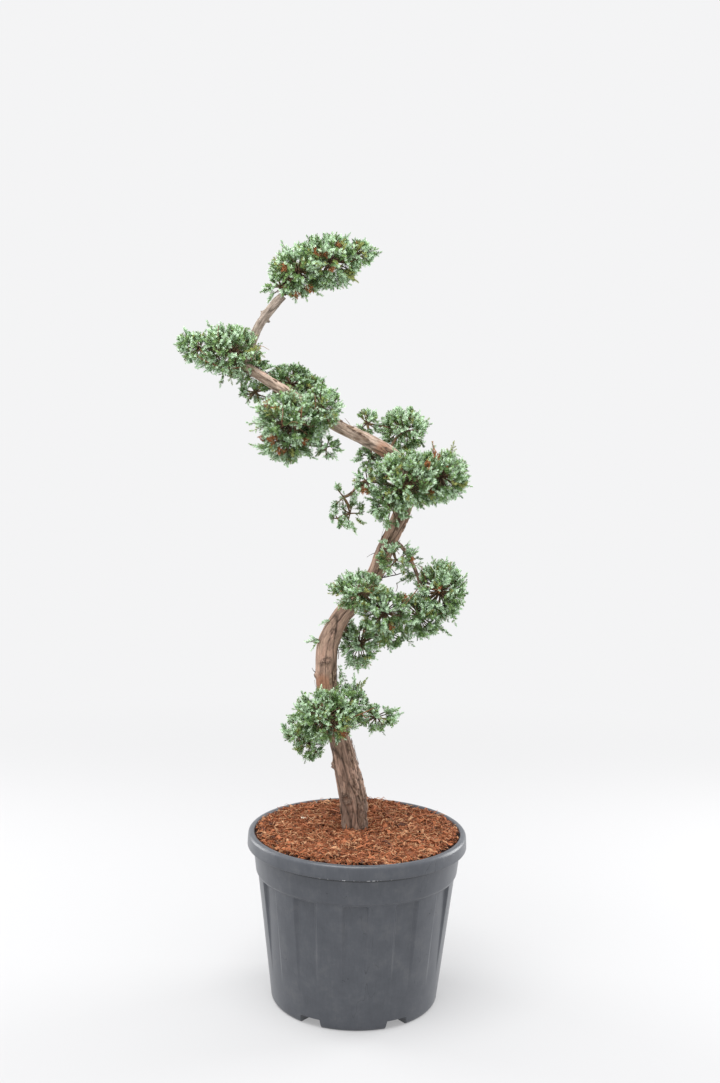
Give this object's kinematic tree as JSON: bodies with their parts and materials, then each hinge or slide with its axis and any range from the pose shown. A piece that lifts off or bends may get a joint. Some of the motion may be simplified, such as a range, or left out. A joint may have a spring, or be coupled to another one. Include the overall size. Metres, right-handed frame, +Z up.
{
  "type": "potted juniper bonsai",
  "caption": "Tall garden juniper trained as a bonsai: a leaning, folded stem with clipped needle pads, standing in a ribbed round nursery pot.",
  "frame": {"origin": "centre of the pot's flat underside, on the surface that it stands on", "axes": "+Z up the plant, +X to the right and +Y away as seen from the front"},
  "size_m": [0.6353, 0.4808, 1.6526],
  "materials": {
    "pot_plastic": "satin moulded polypropylene, faintly scuffed",
    "bark_soil": "loose composted bark chips and fibre",
    "juniper_bark": "fibrous peeling bark",
    "juniper_needles": "waxy blue-green needles"
  },
  "bodies": {
    "root": {"pot": "pot_plastic", "soil": "bark_soil", "trunk": "juniper_bark", "middle_limb": "juniper_bark", "top_leader": "juniper_bark", "fork_bough": "juniper_bark", "hanging_bough": "juniper_bark", "foliage_top": "juniper_needles", "foliage_left": "juniper_needles", "foliage_upper_back": "juniper_needles", "foliage_mid_front": "juniper_needles", "foliage_mid_back": "juniper_needles", "foliage_bend": "juniper_needles", "foliage_hanging": "juniper_needles", "foliage_fork_front": "juniper_needles", "foliage_fork_right": "juniper_needles", "foliage_fork_low": "juniper_needles", "foliage_fork_twigs": "juniper_needles", "foliage_low": "juniper_needles"}
  },
  "joints": []
}
